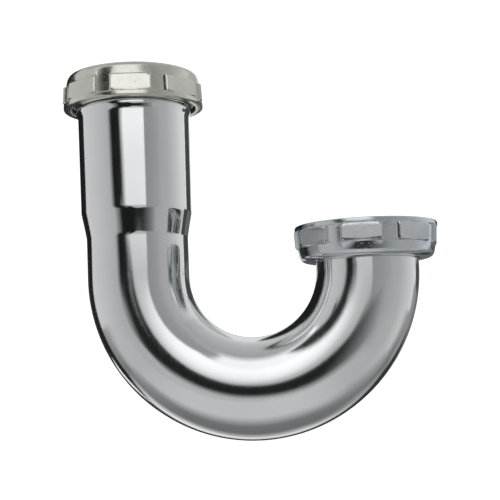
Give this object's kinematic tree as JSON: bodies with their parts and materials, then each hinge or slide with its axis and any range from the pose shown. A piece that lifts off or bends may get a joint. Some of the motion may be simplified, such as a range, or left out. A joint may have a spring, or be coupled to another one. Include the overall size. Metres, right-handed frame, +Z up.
{
  "type": "tubular p trap j-bend",
  "caption": "Chromed tubular trap bend with a swaged slip-joint inlet, a captive outlet union nut, and octagonal-padded slip nuts with seals.",
  "frame": {"origin": "centre of the inlet mouth of the tube, on the inlet leg's axis", "axes": "+Z up along both legs, +X from the inlet leg to the outlet leg, so the bend lies in the XZ plane and the front of the trap faces -Y"},
  "size_m": [0.1397, 0.054, 0.1399],
  "materials": {
    "polished_chrome": "bright polished chrome plate on brass tube",
    "satin_zinc": "satin plated zinc die-casting, faintly ivory",
    "chromed_zinc": "chromed zinc die-casting with light casting pits",
    "brass": "plain stamped brass",
    "black_rubber": "moulded black rubber",
    "grey_rubber": "cut sheet rubber"
  },
  "bodies": {
    "trap": {"trap_tube": "polished_chrome", "outlet_washer": "grey_rubber"},
    "inlet_seal": {"inlet_slip_washer": "black_rubber", "inlet_friction_ring": "brass"},
    "inlet_nut": {"inlet_slip_nut": "satin_zinc"},
    "outlet_nut": {"outlet_nut": "chromed_zinc"}
  },
  "joints": [
    {"name": "inlet_nut_rise", "type": "slide", "parent": "trap", "child": "inlet_seal", "axis": [0, 0, 1], "range_m": [0, 0.00774]},
    {"name": "inlet_nut_turn", "type": "hinge", "parent": "inlet_seal", "child": "inlet_nut", "pos_m": [0, 0, 0], "axis": [0, 0, 1], "range_deg": [0, 1260]},
    {"name": "outlet_nut_spin", "type": "hinge", "parent": "trap", "child": "outlet_nut", "pos_m": [0.086, 0, -0.063], "axis": [0, 0, 1], "continuous": true}
  ],
  "couplings": [
    {"joint": "inlet_nut_rise", "follows": "inlet_nut_turn", "m_per_rad": 0.00035152}
  ]
}
